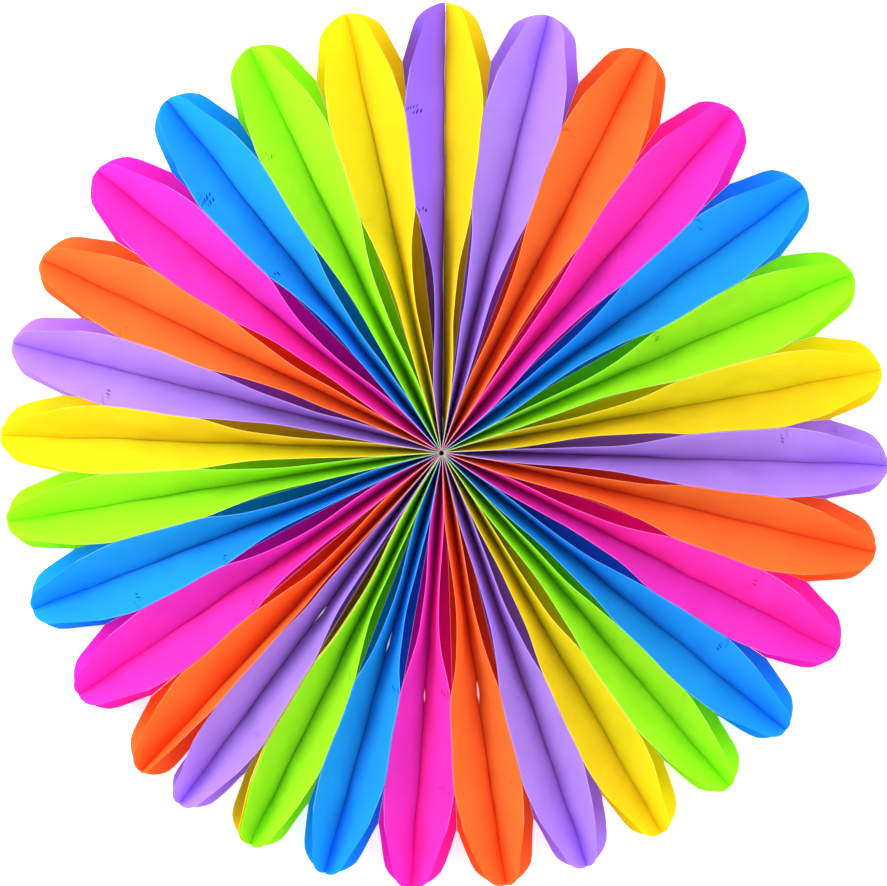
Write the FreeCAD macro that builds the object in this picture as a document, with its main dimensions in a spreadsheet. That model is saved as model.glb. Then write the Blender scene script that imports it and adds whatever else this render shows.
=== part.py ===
"""Paper fan rosette: thirty honeycomb petals of glued paper leaves, opened right round and joined at a seam.

Millimetres and degrees. The rosette lies face up on its leaves' back edges at Z = 0. Z is the axis
of its hub, and +Y runs along the seam. Angles are counted clockwise from the seam, seen from above.
"""
import FreeCAD, Part
import math
import os

PARTS_FOLDER = "parts"

# Name, value and meaning of each driving dimension
SIZES = (
    ("tip_radius", 200.0, "hub axis to the round tip of every leaf"),
    ("leaf_half_width", 25.0, "glued mid-line of a leaf to its long edge, in the flat"),
    ("shaped_end", 25.0, "length of the round and bevelled end of a leaf, in the flat"),
    ("paper_thickness", 0.12, "one leaf, measured round the rosette"),
    ("leaf_clearance", 0.08, "air left between leaves that lie side by side"),
    ("arm_bow", 2.5, "how far an opened leaf bows away from a straight line"),
    ("eye_start", 27.0, "radius where neighbouring front edges begin to part"),
    ("eye_end", 107.0, "radius where they meet again"),
    ("eye_angle", 1.9, "how far each front edge stands back at the middle of that eye"),
    ("seam_eye_angle", 3.6, "the same for the last leaf, beside the seam"),
    ("front_glued", 150.0, "radius where the front edges let go for good"),
    ("front_spring", 0.41, "share of its opening that the front of a petal loses at the tip"),
    ("back_glued", 177.0, "radius where the back edges let go"),
    ("back_flare", 0.3, "share of the rest of a right angle that the back opens further at the tip"),
    ("seam_angle", 0.3, "where the seam points"),
    ("narrow_pitch", 6.4, "angle between two creases that are pushed together"),
    ("tucked_turn", 0.2, "angle from a crease to that of the petal tucked in beside it"),
    ("tuck_angle", 0.2, "air between the tucked petal and the leaf that it lies in"),
    ("strip_thickness", 0.3, "double-sided strip in the seam"),
    ("strip_height", 2.4, "the same strip, along the hub axis"),
    ("strip_start", 15.0, "hub axis to the inner end of the strip"),
    ("strip_end", 196.0, "hub axis to the outer end of the strip"),
    ("glue_wall", 0.9, "wall of the glued spine, rolled into a tube at the hub"),
    ("spine_recess", 2.0, "how far the spine ends below the leaves' front edges"),
)

# Angle to each open petal's valley crease from the one before it, clockwise from the seam
PITCHES = (
    13.3, 13.4, 13.6, 13.4, 12.9, 12.9,
    12.3, 11.4, 13.7, 12.2, 10.4, 10.6,
    10.6, 11.0, 12.3, 11.4, 10.4, 10.5,
    12.9, 12.6, 11.9, 11.3, 12.0, 11.6,
    13.5, 12.8, 12.6, 13.2,
)
# The tucked petal and the one after the pushed petal have pitches of their own
OWN_PITCH_PETALS = 2
PETAL_COUNT = len(PITCHES) + OWN_PITCH_PETALS
COLOURS = ("purple", "orange", "magenta", "blue", "green", "yellow")
# The seam pair takes one more place at the hub
HUB_PLACES = PETAL_COUNT + 1
FULL_TURN = 360.0

# A petal that is squeezed shut lies inside the petal before it
TUCKED_PETAL = 18
# The boundary after this petal is pushed towards the next open one
PUSHED_PETAL = 19
PUSHED_SHARE = 0.78
EVEN_SHARE = 0.5
# The most of its opening that a front edge stands back in the eye
MOST_STAND_BACK = 0.6

# Shares of a leaf's half width: the radius of its round tip, and where the tip meets the bevel
TIP_ARC, TIP_CORNER = 0.94, 0.69
# How a leaf is divided: radii at the eye, where the glue ends and at the tip, and lines across each arm
STATION_SIZES = ("eye_start", "eye_middle", "eye_end", "front_glued")
ARM_LINES = (TIP_CORNER / 2, TIP_CORNER, 1.0)
# What share * (1 - share) comes to halfway along an arm
HALFWAY_PRODUCT = 0.25
LEFT, RIGHT = -1, 1


def make_sheet(doc):
    """Write the driving dimensions and the pitches into a spreadsheet."""
    sheet = doc.addObject("Spreadsheet::Sheet", "Sizes")
    rows = list(SIZES)
    for number, pitch in enumerate(PITCHES, 1):
        rows.append((f"pitch_{number:02d}", pitch, "angle from one open petal's crease to the next"))
    for row, (alias, value, meaning) in enumerate(rows, 1):
        sheet.set(f"A{row}", alias)
        sheet.set(f"B{row}", str(value))
        sheet.setAlias(f"B{row}", alias)
        sheet.set(f"C{row}", meaning)
    doc.recompute()
    return sheet


def read_sizes(sheet):
    """Read every size back from the sheet, with those that follow from others."""
    sizes = {alias: float(sheet.get(alias)) for alias, _, _ in SIZES}
    pitches = [float(sheet.get(f"pitch_{number:02d}")) for number in range(1, len(PITCHES) + 1)]
    sizes["creases"] = crease_angles(sizes, pitches)
    sizes["eye_middle"] = (sizes["eye_start"] + sizes["eye_end"]) / 2
    sizes["hub_radius"] = hub_radius(sizes["paper_thickness"], sizes["leaf_clearance"])
    return sizes


def hub_radius(thickness, clearance):
    """The radius at which every leaf of the closed circle has its own place."""
    return HUB_PLACES * (thickness + clearance) / math.pi


def next_open(place):
    """The next place whose petal is open, past the tucked one."""
    after = place + 1
    return after + 1 if after == TUCKED_PETAL else after


def crease_angles(sizes, pitches):
    """Where the crease of every place points, from the seam round."""
    plain_pitches = iter(pitches)
    angle = sizes["seam_angle"]
    angles = [angle]
    for place in range(1, HUB_PLACES):
        if place == TUCKED_PETAL:
            angles.append(angle + sizes["tucked_turn"])
            continue
        narrow = place == next_open(PUSHED_PETAL)
        angle += sizes["narrow_pitch"] if narrow else next(plain_pitches)
        angles.append(angle)
    return angles


def crease_angle(sizes, place):
    """Crease angle by place: 0 is the seam, and places count on past a full turn."""
    turns, index = divmod(place, HUB_PLACES)
    return turns * FULL_TURN + sizes["creases"][index]


def boundary_angle(sizes, place, pushed_share):
    """The line where the edges of this place and the next one meet."""
    before = place - 1 if place == TUCKED_PETAL else place
    after = next_open(before)
    share = pushed_share if after == next_open(PUSHED_PETAL) else EVEN_SHARE
    low, high = crease_angle(sizes, before), crease_angle(sizes, after)
    return low + share * (high - low)


def straight_direction(sizes, hub_angle, tip_angle, radius):
    """Where a straight line is seen from the hub axis, from its place at the hub to where it points."""
    offset = sizes["hub_radius"] * math.sin(math.radians(hub_angle - tip_angle))
    return math.radians(tip_angle) + math.asin(offset / radius)


def grown_share(sizes, radius):
    """How far the seam leaves have parted to their full gap at this radius."""
    grown = (radius - sizes["hub_radius"]) / (sizes["eye_start"] - sizes["hub_radius"])
    return min(1.0, grown)


class Leaf:
    """One paper leaf, held at its mid-line and bent into a front arm and a back arm."""

    def __init__(self, sizes, place, side):
        self.sizes = sizes
        self.side = side
        self.crease = crease_angle(sizes, place)
        self.hub_angle = FULL_TURN * place / HUB_PLACES
        edge_place = place if side == RIGHT else place - 1
        self.edge_hub_angle = FULL_TURN * (edge_place + EVEN_SHARE) / HUB_PLACES
        holds_tucked = place == TUCKED_PETAL - 1 and side == RIGHT
        stand_back = sizes["tuck_angle"] if holds_tucked else 0.0
        self.front_angle = boundary_angle(sizes, edge_place, PUSHED_SHARE) - stand_back
        self.back_angle = boundary_angle(sizes, edge_place, EVEN_SHARE) - stand_back
        at_seam = place % HUB_PLACES == 0
        self.seam_gap = sizes["strip_thickness"] / 2 if at_seam else 0.0
        beside_seam = at_seam and side == LEFT
        self.eye_angle = sizes["seam_eye_angle"] if beside_seam else sizes["eye_angle"]

    def direction(self, radius):
        """Where the mid-line is seen from the hub axis at this radius."""
        return straight_direction(self.sizes, self.hub_angle, self.crease, radius)

    def mid_line(self, radius):
        """Sideways place of the leaf's middle surface at its mid-line."""
        gap = self.seam_gap * grown_share(self.sizes, radius)
        return self.side * (self.sizes["paper_thickness"] / 2 + gap)

    def reach(self, radius, angle, stand_back):
        """Sideways distance from the mid-line to an edge that lies at this angle."""
        room = (self.sizes["paper_thickness"] + self.sizes["leaf_clearance"]) / 2
        edge_direction = straight_direction(self.sizes, self.edge_hub_angle, angle, radius)
        open_angle = edge_direction - self.direction(radius)
        back = min(math.radians(stand_back), abs(open_angle) * MOST_STAND_BACK)
        open_angle -= math.copysign(back, open_angle)
        edge = radius * math.tan(open_angle) - self.side * room
        return edge - self.mid_line(radius)

    def free_turn(self, radius):
        """Quarter turn from where the front edges let go to the tip, for smooth changes."""
        sizes = self.sizes
        past = (radius - sizes["front_glued"]) / (sizes["tip_radius"] - sizes["front_glued"])
        return math.pi / 2 * max(past, 0.0)

    def front_reach(self, radius):
        """The front edge stands back in the eye and springs back towards the tip."""
        sizes = self.sizes
        along = (radius - sizes["eye_start"]) / (sizes["eye_end"] - sizes["eye_start"])
        stand_back = self.eye_angle * math.sin(math.pi * min(max(along, 0.0), 1.0))
        lost = sizes["front_spring"] * math.sin(self.free_turn(radius))
        return self.reach(radius, self.front_angle, stand_back) * (1 - lost)

    def back_reach(self, radius):
        """The back edge stays with its neighbour until the glue ends."""
        glued = min(radius, self.sizes["back_glued"])
        return self.reach(glued, self.back_angle, 0.0)

    def lean(self, radius, in_front):
        """How far the front or the back arm leans from the hub axis."""
        sizes = self.sizes
        width = sizes["leaf_half_width"]
        if in_front:
            return math.asin(self.front_reach(radius) / width)
        lean = math.asin(self.back_reach(radius) / width)
        past = (radius - sizes["back_glued"]) / (sizes["tip_radius"] - sizes["back_glued"])
        flare = sizes["back_flare"] * max(past, 0.0)
        return lean + flare * (math.copysign(math.pi / 2, lean) - lean)

    def arm_point(self, radius, lean, distance):
        """Sideways and along the axis: a point at this distance from the mid-line on an arm."""
        bow = self.sizes["arm_bow"] * math.cos(self.free_turn(radius))
        share = distance / self.sizes["leaf_half_width"]
        bulge = bow * share * (1 - share) / HALFWAY_PRODUCT
        sideways = math.sin(lean) * (distance - bulge * math.cos(lean))
        along_axis = distance * math.cos(lean) + bulge * math.sin(lean) ** 2
        return sideways, along_axis

    def point(self, radius, distance, group, shift):
        """A point of the leaf: distance is positive in front and negative behind."""
        lean = self.lean(radius, distance >= 0)
        sideways, along_axis = self.arm_point(radius, lean, abs(distance))
        sideways += self.mid_line(radius) + shift
        height = mid_height(group, radius) + math.copysign(along_axis, distance)
        turn = self.direction(radius)
        x = radius * math.sin(turn) + sideways * math.cos(turn)
        y = radius * math.cos(turn) - sideways * math.sin(turn)
        return FreeCAD.Vector(x, y, height)

    def end(self, distance):
        """Where the leaf ends at this distance from its mid-line: a round tip, then a straight bevel."""
        sizes = self.sizes
        width = sizes["leaf_half_width"]
        arc, corner = TIP_ARC * width, TIP_CORNER * width
        drop = arc - math.sqrt(arc**2 - min(abs(distance), corner) ** 2)
        bevelled = max(0.0, abs(distance) - corner) / (width - corner)
        return sizes["tip_radius"] - drop - bevelled * (sizes["shaped_end"] - drop)

    def stations(self, distance):
        """Radii along one lengthwise line of the leaf, from the hub to its end."""
        sizes = self.sizes
        return [sizes["hub_radius"]] + [sizes[name] for name in STATION_SIZES] + [self.end(distance)]

    def solid(self, group):
        """The leaf as a closed solid of flat facets, at the height of its group."""
        width = self.sizes["leaf_half_width"]
        half = self.sizes["paper_thickness"] / 2
        lines = [-share * width for share in reversed(ARM_LINES)] + [0.0]
        lines += [share * width for share in ARM_LINES]
        faces_of_paper = []
        for shift in (-half, half):
            rows = []
            for distance in lines:
                rows.append([self.point(r, distance, group, shift) for r in self.stations(distance)])
            faces_of_paper.append(rows)
        return solid_between(*faces_of_paper)


def leaf_group(sizes, place):
    """The leaves whose mid-lines lie at one height: a petal's own two, or four where one is tucked in."""
    tucked = (TUCKED_PETAL - 1, TUCKED_PETAL)
    places = tucked if place in tucked else (place,)
    return [Leaf(sizes, each, side) for each in places for side in (LEFT, RIGHT)]


def mid_height(group, radius):
    """Height of the mid-lines, where the group's most upright back arm stands on the floor."""
    width = group[0].sizes["leaf_half_width"]
    reach = min(abs(leaf.back_reach(radius)) for leaf in group)
    return math.sqrt(width**2 - reach**2)


def solid_between(lower, upper):
    """Join two grids of points, the two faces of a sheet, into one faceted solid."""
    rows, columns = len(lower), len(lower[0])
    points = [point for grid in (lower, upper) for row in grid for point in row]
    first_upper = rows * columns

    def at(row, column):
        return row * columns + column

    facets = []
    for row in range(rows - 1):
        for column in range(columns - 1):
            a, b = at(row, column), at(row, column + 1)
            c, d = at(row + 1, column + 1), at(row + 1, column)
            facets += [(a, b, c), (a, c, d)]
            facets += [(a + first_upper, c + first_upper, b + first_upper)]
            facets += [(a + first_upper, d + first_upper, c + first_upper)]
    rim = [at(0, column) for column in range(columns)]
    rim += [at(row, columns - 1) for row in range(1, rows)]
    rim += [at(rows - 1, column) for column in range(columns - 2, -1, -1)]
    rim += [at(row, 0) for row in range(rows - 2, 0, -1)]
    for here, after in zip(rim, rim[1:] + rim[:1]):
        facets += [(here, first_upper + here, first_upper + after)]
        facets += [(here, first_upper + after, after)]
    return solid_from_facets(points, facets)


def solid_from_facets(points, facets):
    """A solid with its faces turned outwards."""
    shape = Part.Shape()
    tolerance = 0.001
    shape.makeShapeFromMesh((points, facets), tolerance)
    solid = Part.makeSolid(shape)
    if solid.Volume < 0:
        solid.reverse()
    return solid


def add_shape(doc, label, shape):
    """A document object that holds a worked-out shape, in its own place."""
    feature = doc.addObject("Part::Feature", label)
    feature.Label = label
    feature.Shape = shape
    feature.Placement = FreeCAD.Placement()
    return feature


def make_petal(doc, sizes, place):
    """Two leaves of one colour, glued back to back along their mid-lines."""
    group = leaf_group(sizes, place)
    pair = Part.makeCompound([Leaf(sizes, place, side).solid(group) for side in (LEFT, RIGHT)])
    colour = COLOURS[(place - 1) % len(COLOURS)]
    return add_shape(doc, f"petal_{place:02d}_{colour}", pair)


def make_seam_leaves(doc, sizes):
    """The first and the last leaf, which meet at the seam in two colours."""
    last, first = group = leaf_group(sizes, 0)
    return [
        add_shape(doc, "seam_leaf_yellow", first.solid(group)),
        add_shape(doc, "seam_leaf_purple", last.solid(group)),
    ]


def make_seam_strip(doc, sizes):
    """The double-sided strip between the two seam leaves, along their mid-lines."""
    group = leaf_group(sizes, 0)
    radii = [sizes["strip_start"]]
    radii += [sizes[name] for name in STATION_SIZES]
    radii += [sizes["back_glued"], sizes["strip_end"]]
    heights = [mid_height(group, radius) for radius in radii]
    half = sizes["strip_height"] / 2
    faces_of_strip = []
    for side in (LEFT, RIGHT):
        rows = []
        for level in (-half, half):
            row = []
            for radius, height in zip(radii, heights):
                sideways = side * (sizes["strip_thickness"] / 2) * grown_share(sizes, radius)
                turn = group[0].direction(radius)
                x = radius * math.sin(turn) + sideways * math.cos(turn)
                y = radius * math.cos(turn) - sideways * math.sin(turn)
                row.append(FreeCAD.Vector(x, y, height + level))
            rows.append(row)
        faces_of_strip.append(rows)
    return add_shape(doc, "seam_strip", solid_between(*faces_of_strip))


def make_spine_glue(doc):
    """The glued spine of the leaves, rolled into a short tube with a small hole."""
    radius = f"{HUB_PLACES} * (Sizes.paper_thickness + Sizes.leaf_clearance) / pi"
    height = "2 * Sizes.leaf_half_width - Sizes.spine_recess"
    outside = doc.addObject("Part::Cylinder", "spine_outside")
    outside.setExpression("Radius", radius)
    outside.setExpression("Height", height)
    hole = doc.addObject("Part::Cylinder", "spine_hole")
    hole.setExpression("Radius", f"{radius} - Sizes.glue_wall")
    hole.setExpression("Height", height)
    tube = doc.addObject("Part::Cut", "spine_glue")
    tube.Base = outside
    tube.Tool = hole
    tube.Label = "spine_glue"
    return tube


def check_model(doc, pieces):
    """Stop before anything is written if an object failed or a piece is unsound."""
    doc.recompute()
    for item in doc.Objects:
        if "Invalid" in item.State or "Error" in item.State:
            raise RuntimeError(f"{item.Label} failed: {item.State}")
    for piece in pieces:
        if piece.Shape.isNull() or not piece.Shape.isValid():
            raise RuntimeError(f"{piece.Label} has no sound shape")


def main():
    doc = FreeCAD.newDocument("PaperFanRosette")
    sizes = read_sizes(make_sheet(doc))
    pieces = [make_petal(doc, sizes, place) for place in range(1, PETAL_COUNT + 1)]
    pieces += make_seam_leaves(doc, sizes)
    pieces.append(make_seam_strip(doc, sizes))
    pieces.append(make_spine_glue(doc))
    check_model(doc, pieces)
    os.makedirs(PARTS_FOLDER, exist_ok=True)
    for piece in pieces:
        piece.Shape.exportStep(f"{PARTS_FOLDER}/{piece.Label}.step")
        print(piece.Label, len(piece.Shape.Solids), round(piece.Shape.Volume, 1))


main()
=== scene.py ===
"""Looks of the paper fan rosette: thin matt paper leaves, soft light and a camera above.

Metres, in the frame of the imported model. Each leaf is a closed thin sheet, worked out from the
same sizes as its solid, with finer curves, small ripples and soft dents.
"""
import math

import bpy
import numpy as np
from mathutils import Matrix, Vector


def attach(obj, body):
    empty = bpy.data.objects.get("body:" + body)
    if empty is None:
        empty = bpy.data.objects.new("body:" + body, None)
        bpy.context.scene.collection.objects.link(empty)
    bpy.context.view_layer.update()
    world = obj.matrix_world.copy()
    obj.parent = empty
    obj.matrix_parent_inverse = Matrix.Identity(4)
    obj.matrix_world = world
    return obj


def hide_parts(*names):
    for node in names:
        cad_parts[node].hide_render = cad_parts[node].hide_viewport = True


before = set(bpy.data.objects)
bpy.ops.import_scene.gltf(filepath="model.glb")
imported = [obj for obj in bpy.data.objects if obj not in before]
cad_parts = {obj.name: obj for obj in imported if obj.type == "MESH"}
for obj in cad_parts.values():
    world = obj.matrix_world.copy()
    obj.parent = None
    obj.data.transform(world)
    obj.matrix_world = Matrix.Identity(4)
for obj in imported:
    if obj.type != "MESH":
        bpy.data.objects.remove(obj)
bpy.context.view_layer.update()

# Sizes of the leaves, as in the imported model
TIP_RADIUS = 0.2
LEAF_HALF_WIDTH = 0.025
SHAPED_END = 0.025
TIP_ARC, TIP_CORNER = 0.94, 0.69
PLACE_WIDTH = 0.0002
EYE_START = 0.027
EYE_END = 0.107
FRONT_GLUED = 0.15
FRONT_SPRING = 0.41
BACK_FLARE = 0.3
BACK_GLUED = 0.177
ARM_BOW = 0.0025
SEAM_ANGLE = 0.3
STRIP_THICKNESS = 0.0003

# Paper as it is seen, thinner than its solid
SHEET_THICKNESS = 0.00011
EDGE_ROOM = 0.00008
EDGE_START = 0.0011
# The corner at the end of the front edge is rounded off, and the front edges part gently
ROUNDED_CORNER = 0.006
CORNER_SHARPNESS = 7
SOFT_START = 0.1

# Angle to each open petal's valley crease from the one before it, clockwise from the seam
PITCHES = (
    13.3, 13.4, 13.6, 13.4, 12.9, 12.9,
    12.3, 11.4, 13.7, 12.2, 10.4, 10.6,
    10.6, 11.0, 12.3, 11.4, 10.4, 10.5,
    12.9, 12.6, 11.9, 11.3, 12.0, 11.6,
    13.5, 12.8, 12.6, 13.2,
)
NARROW_PITCH = 6.4
TUCKED_TURN = 0.2
# The tucked petal and the one after the pushed petal have pitches of their own
OWN_PITCH_PETALS = 2
PETAL_COUNT = len(PITCHES) + OWN_PITCH_PETALS
COLOURS = ("purple", "orange", "magenta", "blue", "green", "yellow")
HUB_PLACES = PETAL_COUNT + 1
HUB_RADIUS = HUB_PLACES * PLACE_WIDTH / math.pi
FULL_TURN = 360.0
TUCKED_PETAL = 18
PUSHED_PETAL = 19
PUSHED_SHARE = 0.78
EVEN_SHARE = 0.5
MOST_STAND_BACK = 0.6
TUCK_ANGLE = 0.2
# An arm never leans quite flat, as a share of its sine
MOST_LEAN = 0.98
# What share * (1 - share) comes to halfway along an arm
HALFWAY_PRODUCT = 0.25
LEFT, RIGHT = -1, 1

# How wide the eye after each place stands open, in degrees, with the seam pair first
EYE_WIDTHS = (
    3.6, 4.2, 2.8, 3.9, 5.6, 4.1, 3.9, 2.8, 5.4, 4.7, 2.8,
    3.8, 3.7, 4.1, 6.3, 5.6, 5.4, 4.1, 4.1, 0.8, 4.8, 5.3,
    4.8, 3.0, 3.7, 3.2, 3.4, 6.3, 4.0, 4.8, 7.2,
)

# How far the front edge after each place is pushed clockwise near the hub, and how far out that reaches
HUB_SHIFTS = (
    0.0010, -0.0003, 0.0005, 0.0008, 0.0005, -0.0002, 0.0006, 0.0003, -0.0001, 0.0, 0.0006,
    0.0002, -0.0001, 0.0002, 0.0001, 0.0002, 0.0008, 0.0008, 0.0008, -0.0002, 0.0009, 0.0012,
    0.0009, 0.0001, 0.0003, 0.0007, -0.0004, 0.0007, 0.0004, 0.0008, -0.0006,
)
SHIFTED_REACH = 0.055

# Small unevenness of hand-glued paper
CREASE_WANDER = 0.0006
EDGE_WANDER = 0.0006
WANDER_START, WANDER_FULL = 0.03, 0.09
WAVE_LENGTHS = (0.031, 0.052, 0.087)
LEAST_WAVE = 0.3
# From one glue spot to the next, the leaves are pressed together a little less or more
SPOT_SPACING = 0.017
SPOT_START = 0.03
PRESSED = 0.0016
PRESSED_AT_TIP = 0.0004
PRESSED_START, PRESSED_FULL = 0.02, 0.11
UNEVEN_PRESSING = (-0.5, 1.0)
# Petals whose two leaves have come apart between two glue spots: where, how far and how wide
OPEN_SLITS = {
    14: (0.1105, 0.0034, 0.0015),
    15: (0.1112, 0.0022, 0.0009),
    16: (0.0905, 0.0026, 0.0010),
    19: (0.092, 0.0026, 0.0010),
}
# Soft dents: how far out, how far across the arm, how long, how wide and how slanted
DENT_COUNT = 6
DEEPEST_DENT = 0.0008
DENT_MIDDLES = (0.06, 0.165)
DENT_PLACES_ACROSS = (0.2, 0.85)
DENT_LENGTHS = (0.005, 0.016)
DENT_WIDTHS = (0.15, 0.35)
DENT_SLANTS = (-0.02, 0.02)

# Colours of the paper, and the share of the light that passes through it
PAPER_COLOURS = {
    "purple": (0.50, 0.30, 0.97),
    "orange": (1.0, 0.212, 0.041),
    "magenta": (0.97, 0.046, 0.605),
    "blue": (0.021, 0.385, 0.97),
    "green": (0.42, 0.93, 0.025),
    "yellow": (0.955, 0.755, 0.017),
}
LIGHT_THROUGH = 0.4
# A darker copy of the purple paper that lets less light through, for the purple leaf at the seam: painted
# shade, as that leaf is turned away from the light
SEAM_PURPLE_PAINTED_SHADE = (0.28, 0.13, 0.9)
SEAM_SHADE_LIGHT_THROUGH = 0.1
# Soft clouds in the colour, from a little darker to a little lighter
CLOUD_SCALE, CLOUD_DETAIL = 90.0, 3.0
CLOUD_DARK, CLOUD_LIGHT = 0.9, 1.04
# Fine fibre that stands up a little
FIBRE_SCALE, FIBRE_DETAIL = 900.0, 1.0
FIBRE_STRENGTH, FIBRE_HEIGHT = 0.15, 0.0002
# How much paler the front edges are painted, a painted highlight where they catch the light, at the hub and
# further out, and where that fades
HIGHLIGHT_AT_HUB = 0.8
HIGHLIGHT_OUTSIDE = 0.3
HIGHLIGHT_FADES = 0.05
HIGHLIGHT_KEEPS, HIGHLIGHT_ADDS = 0.45, 0.5
# The strip, the glue and the floor, as they are seen, in 255ths
STRIP_SEEN, STRIP_ROUGHNESS = (235, 205, 205), 0.6
GLUE_SEEN, GLUE_ROUGHNESS = (120, 80, 55), 0.5
FLOOR_SEEN, FLOOR_ROUGHNESS = (252, 252, 252), 0.9
PLAIN_CLOUD_SCALE, PLAIN_CLOUD_DARK = 400.0, 0.85

# Grid of a leaf: points along it, and points across each arm, crowded at the crease and the edge
POINTS_ALONG = 64
POINTS_ACROSS = 18
EDGE_CROWDING = 0.65
END_CROWDING = 1.25
# Past this share of an arm's width, a row of points is its edge
EDGE_ROW_SHARE = 0.99
SMALLEST_LENGTH = 1e-12

# The floor's size, how far it lies under the paper and how much it glows
FLOOR_HALF = 3.0
FLOOR_DROP = 0.0005
GLOW = 0.4

# Soft lights, and the white light from all round
WHITE = (1.0, 1.0, 1.0, 1.0)
ROOM_LIGHT = 1.22
KEY_PLACE, KEY_SIZE, KEY_POWER = (-0.5, 0.15, 0.45), 0.35, 3.8
FILL_PLACE, FILL_SIZE, FILL_POWER = (1.1, 0.3, 1.4), 1.4, 12.0
HUB = (0, 0, 0)

# The curve between the light of a colour and how it is seen
SEEN_MOST = 255
CURVE_START, CURVE_SLOPE = 0.04045, 12.92
CURVE_OFFSET, CURVE_POWER = 0.055, 2.4

# Camera, from the photograph's framing
PHOTO_WIDTH, PHOTO_HEIGHT = 887, 886
HUB_PIXEL = (441.5, 453.2)
PIXELS_PER_METRE = 2274.0
CAMERA_DISTANCE = 1.3
CAMERA_TILT = 3.2
CAMERA_SIDE = 1.25
SENSOR_WIDTH = 36.0


def next_open(place):
    """The next place whose petal is open, past the tucked one."""
    after = place + 1
    return after + 1 if after == TUCKED_PETAL else after


def crease_angles():
    """Where the crease of every place points, from the seam round."""
    plain_pitches = iter(PITCHES)
    angle = SEAM_ANGLE
    angles = [angle]
    for place in range(1, HUB_PLACES):
        if place == TUCKED_PETAL:
            angles.append(angle + TUCKED_TURN)
            continue
        narrow = place == next_open(PUSHED_PETAL)
        angle += NARROW_PITCH if narrow else next(plain_pitches)
        angles.append(angle)
    return angles


CREASES = crease_angles()


def crease_angle(place):
    """Crease angle by place: 0 is the seam, and places count on past a full turn."""
    turns, index = divmod(place, HUB_PLACES)
    return turns * FULL_TURN + CREASES[index]


def boundary_angle(place, pushed_share):
    """The line where the edges of this place and the next one meet."""
    before = place - 1 if place == TUCKED_PETAL else place
    after = next_open(before)
    share = pushed_share if after == next_open(PUSHED_PETAL) else EVEN_SHARE
    low, high = crease_angle(before), crease_angle(after)
    return low + share * (high - low)


def straight_direction(hub_angle, tip_angle, radius):
    """Where a straight line is seen from the hub axis, from its place at the hub to where it points."""
    offset = HUB_RADIUS * math.sin(math.radians(hub_angle - tip_angle))
    return math.radians(tip_angle) + np.arcsin(offset / radius)


def wander(seed, radius):
    """A slow uneven wave along a line of the rosette, from -1 to 1, none at the hub."""
    random = np.random.default_rng(seed)
    total = 0 * radius
    for length in WAVE_LENGTHS:
        depth = random.uniform(LEAST_WAVE, 1.0)
        total = total + depth * np.sin(2 * np.pi * (radius / length + random.random()))
    grown = np.clip((radius - WANDER_START) / (WANDER_FULL - WANDER_START), 0.0, 1.0)
    return total / len(WAVE_LENGTHS) * grown


def leaf_end(signed_distance):
    """Where a leaf ends at this distance from its mid-line: a round tip, a bevel and a soft front corner."""
    distance = np.abs(signed_distance)
    rounded = np.where(signed_distance > 0, ROUNDED_CORNER, 0.0)
    arc, corner = TIP_ARC * LEAF_HALF_WIDTH, TIP_CORNER * LEAF_HALF_WIDTH
    drop = arc - np.sqrt(arc**2 - np.minimum(distance, corner) ** 2)
    bevelled = np.maximum(0.0, distance - corner) / (LEAF_HALF_WIDTH - corner)
    return TIP_RADIUS - drop - bevelled * (SHAPED_END - drop) - rounded * bevelled**CORNER_SHARPNESS


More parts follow.
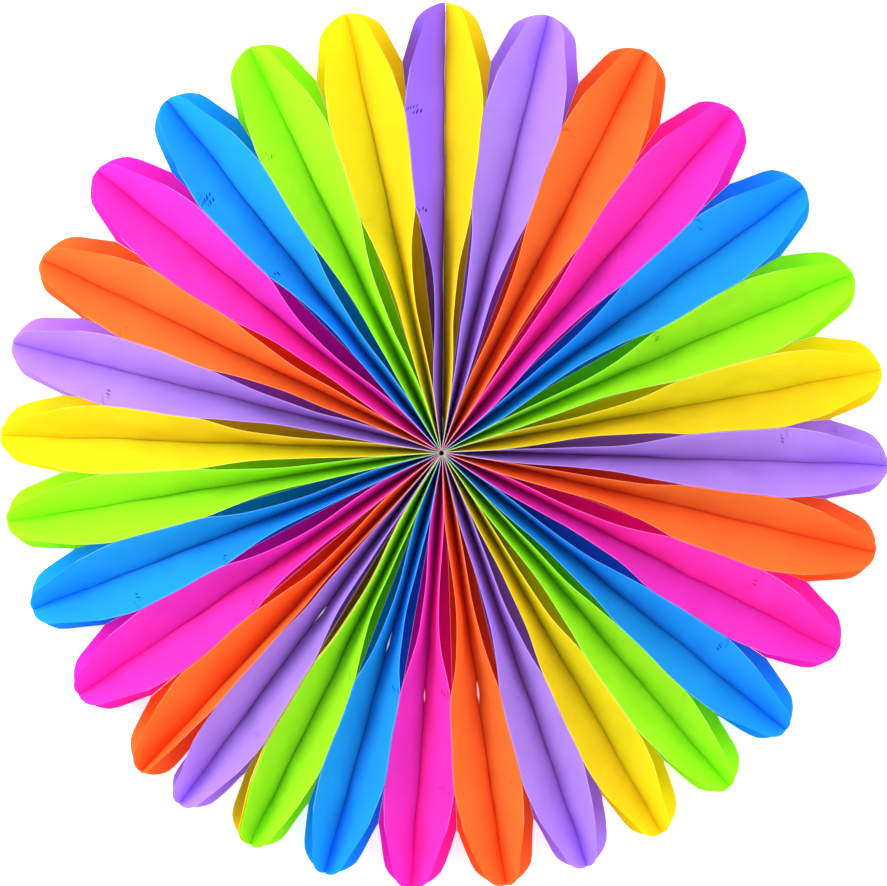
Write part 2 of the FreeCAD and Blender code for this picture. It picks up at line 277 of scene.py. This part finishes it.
class Leaf:
    """One paper leaf, held at its mid-line and bent into a front arm and a back arm."""

    def __init__(self, place, side):
        self.place = place
        self.side = side
        self.at_seam = place % HUB_PLACES == 0
        self.crease = crease_angle(place)
        self.hub_angle = FULL_TURN * place / HUB_PLACES
        edge_place = place if side == RIGHT else place - 1
        self.edge_hub_angle = FULL_TURN * (edge_place + EVEN_SHARE) / HUB_PLACES
        holds_tucked = place == TUCKED_PETAL - 1 and side == RIGHT
        stand_back = TUCK_ANGLE if holds_tucked else 0.0
        self.front_angle = boundary_angle(edge_place, PUSHED_SHARE) - stand_back
        self.back_angle = boundary_angle(edge_place, EVEN_SHARE) - stand_back
        self.eye_angle = EYE_WIDTHS[edge_place % HUB_PLACES] / 2
        self.crowded = place in (TUCKED_PETAL - 1, TUCKED_PETAL)
        # Leaves that touch share their waves
        self.crease_seed = TUCKED_PETAL - 1 if self.crowded else place % HUB_PLACES
        edge = TUCKED_PETAL - 1 if edge_place == TUCKED_PETAL else edge_place % HUB_PLACES
        self.edge_seed = HUB_PLACES + edge
        self.hub_shift = HUB_SHIFTS[edge]
        self.dent_seed = (place % HUB_PLACES, side + 1)

    def direction(self, radius):
        """Where the mid-line is seen from the hub axis at this radius."""
        return straight_direction(self.hub_angle, self.crease, radius)

    def mid_line(self, radius):
        """Sideways place of the leaf's middle surface at its mid-line."""
        gap = STRIP_THICKNESS / 2 if self.at_seam else 0.0
        grown = np.clip((radius - HUB_RADIUS) / (EYE_START - HUB_RADIUS), 0.0, 1.0)
        apart = SHEET_THICKNESS / 2 + gap * grown + self.slit(radius)
        return self.side * apart + CREASE_WANDER * wander(self.crease_seed, radius)

    def slit(self, radius):
        """Half the gap between a petal's two leaves, open only where they have come apart."""
        if self.place not in OPEN_SLITS:
            return 0 * radius
        middle, length, width = OPEN_SLITS[self.place]
        return width / 2 * np.exp(-(((radius - middle) / length) ** 2))

    def pressed(self, radius):
        """How deep the leaves are pressed flat together beside the mid-line."""
        past = np.maximum(0.0, radius - SPOT_START) / SPOT_SPACING
        random = np.random.default_rng(self.crease_seed)
        depths = random.uniform(*UNEVEN_PRESSING, int(TIP_RADIUS / SPOT_SPACING) + 1)
        uneven = 1 + depths[past.astype(int)] * np.sin(np.pi * past) ** 2
        grown = np.clip((radius - PRESSED_START) / (PRESSED_FULL - PRESSED_START), 0.0, 1.0)
        return (PRESSED * grown * np.cos(self.free_turn(radius)) + PRESSED_AT_TIP) * uneven

    def reach(self, radius, angle, stand_back):
        """Sideways distance from the mid-line to an edge that lies at this angle."""
        edge_direction = straight_direction(self.edge_hub_angle, angle, radius)
        open_angle = edge_direction - self.direction(radius)
        back = np.minimum(np.radians(stand_back), np.abs(open_angle) * MOST_STAND_BACK)
        open_angle = open_angle - np.copysign(back, open_angle)
        edge = radius * np.tan(open_angle) - self.side * EDGE_ROOM
        return edge - self.mid_line(radius)

    def free_turn(self, radius):
        """Quarter turn from where the front edges let go to the tip, for smooth changes."""
        past = np.clip((radius - FRONT_GLUED) / (TIP_RADIUS - FRONT_GLUED), 0.0, 1.0)
        return np.pi / 2 * past**2 * (1 + SOFT_START) / (past + SOFT_START)

    def front_reach(self, radius):
        """The front edge stands back in the eye and springs back towards the tip."""
        along = np.clip((radius - EYE_START) / (EYE_END - EYE_START), 0.0, 1.0)
        stand_back = self.eye_angle * np.sin(np.pi * along)
        lost = FRONT_SPRING * np.sin(self.free_turn(radius))
        near_hub = np.clip((radius - HUB_RADIUS) / SHIFTED_REACH, 0.0, 1.0)
        reach = self.reach(radius, self.front_angle, stand_back)
        reach = reach + self.hub_shift * np.sin(np.pi * near_hub)
        return (reach + EDGE_WANDER * wander(self.edge_seed, radius)) * (1 - lost)

    def back_reach(self, radius):
        """The back edge stays with its neighbour until the glue ends."""
        return self.reach(np.minimum(radius, BACK_GLUED), self.back_angle, 0.0)

    def front_lean(self, radius):
        """How far the front arm leans from the hub axis."""
        return np.arcsin(np.clip(self.front_reach(radius) / LEAF_HALF_WIDTH, -MOST_LEAN, MOST_LEAN))

    def back_lean(self, radius):
        """The same for the back arm, which opens a little further past the glue."""
        lean = np.arcsin(self.back_reach(radius) / LEAF_HALF_WIDTH)
        past = np.clip((radius - BACK_GLUED) / (TIP_RADIUS - BACK_GLUED), 0.0, 1.0)
        return lean + BACK_FLARE * past * (np.copysign(np.pi / 2, lean) - lean)

    def grid(self):
        """Distance from the mid-line and radius of every grid point, from the back edge to the front."""
        even = np.linspace(0.0, 1.0, POINTS_ACROSS)
        steps = even - EDGE_CROWDING * np.sin(2 * np.pi * even) / (2 * np.pi)
        distance = np.concatenate((-steps[:0:-1], steps)) * LEAF_HALF_WIDTH
        end = leaf_end(distance)
        along = 1 - (1 - np.linspace(0.0, 1.0, POINTS_ALONG)) ** END_CROWDING
        start = np.where(distance > EDGE_ROW_SHARE * LEAF_HALF_WIDTH, EDGE_START, HUB_RADIUS)
        radius = start[:, None] + (end - start)[:, None] * along[None, :]
        return distance[:, None] + 0 * radius, radius

    def surface(self, group):
        """Points of the leaf's middle surface, rows across and columns along."""
        distance, radius = self.grid()
        lean = np.where(distance >= 0, self.front_lean(radius), self.back_lean(radius))
        size = np.abs(distance)
        share = size / LEAF_HALF_WIDTH
        bulge = ARM_BOW * np.cos(self.free_turn(radius)) * share * (1 - share) / HALFWAY_PRODUCT
        pressed = self.pressed(radius)
        spread = size - pressed * (1 - np.exp(-size / pressed))
        whole_spread = LEAF_HALF_WIDTH - pressed * (1 - np.exp(-LEAF_HALF_WIDTH / pressed))
        spread *= LEAF_HALF_WIDTH / whole_spread
        sideways = np.sin(lean) * (spread - bulge * np.cos(lean)) + self.mid_line(radius)
        rise = size * np.cos(lean) + bulge * np.sin(lean) ** 2
        dent = self.dent(radius, np.sign(distance) * share)
        sideways = sideways + dent * np.cos(lean)
        height = mid_height(group, radius) + np.where(distance >= 0, rise, -rise) - dent * np.sin(lean)
        turn = self.direction(radius)
        x = radius * np.sin(turn) + sideways * np.cos(turn)
        y = radius * np.cos(turn) - sideways * np.sin(turn)
        return np.stack((x, y, height), axis=-1)

    def dent(self, radius, share):
        """Soft shallow dents, none at the hub, the crease or the long edges."""
        total = 0 * radius
        if self.crowded:
            return total
        random = np.random.default_rng(self.dent_seed)
        for _ in range(DENT_COUNT):
            middle = random.uniform(*DENT_MIDDLES)
            across = random.uniform(*DENT_PLACES_ACROSS)
            length = random.uniform(*DENT_LENGTHS)
            width = random.uniform(*DENT_WIDTHS)
            depth = DEEPEST_DENT * random.uniform(-1.0, 1.0)
            slant = random.uniform(*DENT_SLANTS)
            away = (radius - middle - slant * share) / length
            total = total + depth * np.exp(-away**2 - ((share - across) / width) ** 2)
        return total * np.abs(share) * (1 - np.abs(share)) / HALFWAY_PRODUCT


def leaf_group(place):
    """The leaves whose mid-lines lie at one height."""
    tucked = (TUCKED_PETAL - 1, TUCKED_PETAL)
    places = tucked if place in tucked else (place,)
    return [Leaf(each, side) for each in places for side in (LEFT, RIGHT)]


def mid_height(group, radius):
    """Height of the mid-lines, where the group's most upright back arm stands on the floor."""
    reach = np.min([np.abs(leaf.back_reach(radius)) for leaf in group], axis=0)
    return np.sqrt(LEAF_HALF_WIDTH**2 - reach**2)


def thicken(points):
    """Two faces and a rim around a grid of points: vertices, faces and the painted highlight on the front
    edge of a closed sheet.
    """
    rows, columns = points.shape[:2]
    across = np.gradient(points, axis=0)
    along = np.gradient(points, axis=1)
    normal = np.cross(across, along)
    normal /= np.maximum(np.linalg.norm(normal, axis=-1, keepdims=True), SMALLEST_LENGTH)
    half = SHEET_THICKNESS / 2
    lower_face = (points - half * normal).reshape(-1, 3)
    upper_face = (points + half * normal).reshape(-1, 3)
    vertices = np.concatenate([lower_face, upper_face])
    index = np.arange(rows * columns).reshape(rows, columns)
    a, b = index[:-1, :-1].ravel(), index[:-1, 1:].ravel()
    c, d = index[1:, 1:].ravel(), index[1:, :-1].ravel()
    upper = rows * columns
    quads = [np.stack((a, b, c, d), axis=1), np.stack((d, c, b, a), axis=1) + upper]
    rim = np.concatenate((index[0, :-1], index[:-1, -1], index[-1, :0:-1], index[:0:-1, 0]))
    after = np.roll(rim, -1)
    quads.append(np.stack((after, rim, rim + upper, after + upper), axis=1))
    # Painted highlight: the front row of points, the front edge, is painted paler, most near the hub
    pale = np.zeros((rows, columns))
    front_radius = np.linalg.norm(points[-1, :, :2], axis=-1)
    pale[-1] = HIGHLIGHT_OUTSIDE + (HIGHLIGHT_AT_HUB - HIGHLIGHT_OUTSIDE) * np.exp(-(front_radius / HIGHLIGHT_FADES) ** 2)
    return vertices, np.concatenate(quads), np.tile(pale.ravel(), 2)


def mesh_object(name, sheets, material):
    """One object from several closed sheets."""
    vertices, faces, pale, start = [], [], [], 0
    for sheet_vertices, sheet_faces, sheet_highlight in sheets:
        vertices.append(sheet_vertices)
        pale.append(sheet_highlight)
        faces.append(sheet_faces + start)
        start += len(sheet_vertices)
    mesh = bpy.data.meshes.new(name)
    mesh.from_pydata(np.concatenate(vertices).tolist(), [], np.concatenate(faces).tolist())
    mesh.update()
    # The point attribute pale carries the painted highlight on the front edges
    mesh.attributes.new("pale", "FLOAT", "POINT").data.foreach_set("value", np.concatenate(pale))
    for polygon in mesh.polygons:
        polygon.use_smooth = True
    piece = bpy.data.objects.new(name, mesh)
    bpy.context.scene.collection.objects.link(piece)
    piece.data.materials.append(material)
    return piece


def linear(red, green, blue):
    """Linear light from the colour that is seen, in 255ths."""
    seen = np.array((red, green, blue)) / SEEN_MOST
    bright = ((seen + CURVE_OFFSET) / (1 + CURVE_OFFSET)) ** CURVE_POWER
    return tuple(np.where(seen <= CURVE_START, seen / CURVE_SLOPE, bright)) + (1.0,)


def paper_material(name, base, light_through):
    """Thin coloured paper that lets some light through, with soft clouds, fine fibre and a painted highlight
    on the front edges.
    """
    material = bpy.data.materials.new(name)
    material.use_nodes = True
    nodes, links = material.node_tree.nodes, material.node_tree.links
    nodes.clear()
    output = nodes.new("ShaderNodeOutputMaterial")
    mix = nodes.new("ShaderNodeMixShader")
    links.new(share_through(nodes, links, light_through), mix.inputs["Fac"])
    diffuse = nodes.new("ShaderNodeBsdfDiffuse")
    through = nodes.new("ShaderNodeBsdfTranslucent")
    place = nodes.new("ShaderNodeTexCoord")
    cloudy = cloudy_colour(nodes, links, place, base)
    highlighted = painted_edge_highlight(nodes, links, cloudy, base)
    fibre = fibre_bump(nodes, links, place)
    for shader in (diffuse, through):
        links.new(highlighted, shader.inputs["Color"])
        links.new(fibre, shader.inputs["Normal"])
    links.new(diffuse.outputs["BSDF"], mix.inputs[1])
    links.new(through.outputs["BSDF"], mix.inputs[2])
    links.new(mix.outputs["Shader"], output.inputs["Surface"])
    return material


def share_through(nodes, links, light_through):
    """Part of the light passes into the sheet, and what is inside goes out on the other side."""
    side = nodes.new("ShaderNodeNewGeometry")
    share = nodes.new("ShaderNodeMath")
    share.operation = "MAXIMUM"
    share.inputs[0].default_value = light_through
    links.new(side.outputs["Backfacing"], share.inputs[1])
    return share.outputs["Value"]


def cloudy_colour(nodes, links, place, base):
    """The paper's colour, a little uneven in soft clouds."""
    cloud = nodes.new("ShaderNodeTexNoise")
    cloud.inputs["Scale"].default_value = CLOUD_SCALE
    cloud.inputs["Detail"].default_value = CLOUD_DETAIL
    links.new(place.outputs["Object"], cloud.inputs["Vector"])
    shade = nodes.new("ShaderNodeMix")
    shade.data_type = "RGBA"
    shade.inputs["A"].default_value = tuple(CLOUD_DARK * part for part in base) + (1.0,)
    shade.inputs["B"].default_value = tuple(min(1.0, CLOUD_LIGHT * part) for part in base) + (1.0,)
    links.new(cloud.outputs["Fac"], shade.inputs["Factor"])
    return shade.outputs["Result"]


def painted_edge_highlight(nodes, links, colour, base):
    """Painted highlight: the front edges, which catch the light, are painted paler, most of all near the
    hub.
    """
    highlight_share = nodes.new("ShaderNodeAttribute")
    highlight_share.attribute_name = "pale"
    shade = nodes.new("ShaderNodeMix")
    shade.data_type = "RGBA"
    pale = tuple(HIGHLIGHT_KEEPS * part + HIGHLIGHT_ADDS for part in base)
    shade.inputs["B"].default_value = pale + (1.0,)
    links.new(colour, shade.inputs["A"])
    links.new(highlight_share.outputs["Fac"], shade.inputs["Factor"])
    return shade.outputs["Result"]


def fibre_bump(nodes, links, place):
    """Fine paper fibre."""
    fibre = nodes.new("ShaderNodeTexNoise")
    fibre.inputs["Scale"].default_value = FIBRE_SCALE
    fibre.inputs["Detail"].default_value = FIBRE_DETAIL
    links.new(place.outputs["Object"], fibre.inputs["Vector"])
    bump = nodes.new("ShaderNodeBump")
    bump.inputs["Strength"].default_value = FIBRE_STRENGTH
    bump.inputs["Distance"].default_value = FIBRE_HEIGHT
    links.new(fibre.outputs["Fac"], bump.inputs["Height"])
    return bump.outputs["Normal"]


def plain_material(name, colour, roughness):
    """A plain material with a little cloudiness."""
    material = bpy.data.materials.new(name)
    material.use_nodes = True
    nodes, links = material.node_tree.nodes, material.node_tree.links
    shader = nodes["Principled BSDF"]
    shader.inputs["Roughness"].default_value = roughness
    cloud = nodes.new("ShaderNodeTexNoise")
    cloud.inputs["Scale"].default_value = PLAIN_CLOUD_SCALE
    shade = nodes.new("ShaderNodeMix")
    shade.data_type = "RGBA"
    shade.inputs["A"].default_value = tuple(PLAIN_CLOUD_DARK * part for part in colour[:3]) + (1.0,)
    shade.inputs["B"].default_value = colour
    links.new(cloud.outputs["Fac"], shade.inputs["Factor"])
    links.new(shade.outputs["Result"], shader.inputs["Base Color"])
    return material


def make_petals(materials):
    """Thirty petals, each of two leaves."""
    for place in range(1, PETAL_COUNT + 1):
        colour = COLOURS[(place - 1) % len(COLOURS)]
        node = f"petal_{place:02d}_{colour}"
        group = leaf_group(place)
        sheets = [thicken(Leaf(place, side).surface(group)) for side in (LEFT, RIGHT)]
        piece = mesh_object(node + "_paper", sheets, materials[colour])
        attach(piece, "root")
        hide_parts(node)


def make_seam_leaves(materials):
    """The first and the last leaf, one colour each."""
    # The purple leaf at the seam gets the darker copy of its paper, painted shade
    shaded_purple = paper_material("paper_purple_painted_shade", SEAM_PURPLE_PAINTED_SHADE, SEAM_SHADE_LIGHT_THROUGH)
    group = leaf_group(0)
    for leaf, colour in zip(group, ("purple", "yellow")):
        node = "seam_leaf_" + colour
        material = shaded_purple if colour == "purple" else materials[colour]
        piece = mesh_object(node + "_paper", [thicken(leaf.surface(group))], material)
        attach(piece, "root")
        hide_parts(node)


def dress_hub_and_strip():
    """Give the glued spine and the seam strip their own finish."""
    strip = plain_material("adhesive_strip", linear(*STRIP_SEEN), STRIP_ROUGHNESS)
    glue = plain_material("dried_glue", linear(*GLUE_SEEN), GLUE_ROUGHNESS)
    for node, material in (("seam_strip", strip), ("spine_glue", glue)):
        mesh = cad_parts[node].data
        mesh.materials.clear()
        mesh.materials.append(material)


def make_camera():
    """A camera above the rosette, a little towards the seam and to the right."""
    tilt, side = math.radians(CAMERA_TILT), math.radians(CAMERA_SIDE)
    away = np.array((math.sin(side), math.sin(tilt), math.cos(tilt) * math.cos(side)))
    away /= np.linalg.norm(away)
    target = np.array((0.0, 0.0, 2 * LEAF_HALF_WIDTH))
    camera = bpy.data.objects.new("camera", bpy.data.cameras.new("camera"))
    bpy.context.scene.collection.objects.link(camera)
    camera.location = target + CAMERA_DISTANCE * away
    right = np.cross((0.0, 1.0, 0.0), away)
    right /= np.linalg.norm(right)
    upward = np.cross(away, right)
    turned = Matrix((right, upward, away)).transposed()
    camera.rotation_euler = turned.to_euler()
    camera.data.sensor_width = SENSOR_WIDTH
    camera.data.lens = SENSOR_WIDTH * PIXELS_PER_METRE * CAMERA_DISTANCE / PHOTO_WIDTH
    camera.data.shift_x = (PHOTO_WIDTH / 2 - HUB_PIXEL[0]) / PHOTO_WIDTH
    camera.data.shift_y = (HUB_PIXEL[1] - PHOTO_HEIGHT / 2) / PHOTO_WIDTH
    bpy.context.scene.camera = camera
    return right, upward, away


def area_light(name, place, target, size, power):
    """A square soft light that faces a point."""
    light = bpy.data.objects.new(name, bpy.data.lights.new(name, "AREA"))
    light.data.size = size
    light.data.energy = power
    light.location = place
    light.rotation_euler = (Vector(target) - Vector(place)).to_track_quat("-Z", "Y").to_euler()
    bpy.context.scene.collection.objects.link(light)


def floor_material():
    """A white sheet that glows a little, so that it stays white beside the petals."""
    material = plain_material("floor", linear(*FLOOR_SEEN), FLOOR_ROUGHNESS)
    shader = material.node_tree.nodes["Principled BSDF"]
    shader.inputs["Emission Color"].default_value = WHITE
    shader.inputs["Emission Strength"].default_value = GLOW
    return material


def make_stage():
    """A plain pale floor that fills the view, and soft light from the upper left and all round."""
    floor_mesh = bpy.data.meshes.new("floor")
    signs = ((-1, -1), (1, -1), (1, 1), (-1, 1))
    corners = [(FLOOR_HALF * x, FLOOR_HALF * y, 0.0) for x, y in signs]
    floor_mesh.from_pydata(corners, [], [(0, 1, 2, 3)])
    floor = bpy.data.objects.new("floor", floor_mesh)
    floor.location.z = -FLOOR_DROP
    floor.data.materials.append(floor_material())
    bpy.context.scene.collection.objects.link(floor)
    area_light("key", KEY_PLACE, HUB, KEY_SIZE, KEY_POWER)
    area_light("fill", FILL_PLACE, HUB, FILL_SIZE, FILL_POWER)
    world = bpy.data.worlds.new("world")
    world.use_nodes = True
    background = world.node_tree.nodes["Background"]
    background.inputs["Color"].default_value = WHITE
    background.inputs["Strength"].default_value = ROOM_LIGHT
    bpy.context.scene.world = world


def main():
    bpy.context.scene.view_settings.view_transform = "Standard"
    make_camera()
    materials = {}
    for colour, base in PAPER_COLOURS.items():
        materials[colour] = paper_material("paper_" + colour, base, LIGHT_THROUGH)
    make_petals(materials)
    make_seam_leaves(materials)
    dress_hub_and_strip()
    make_stage()


main()
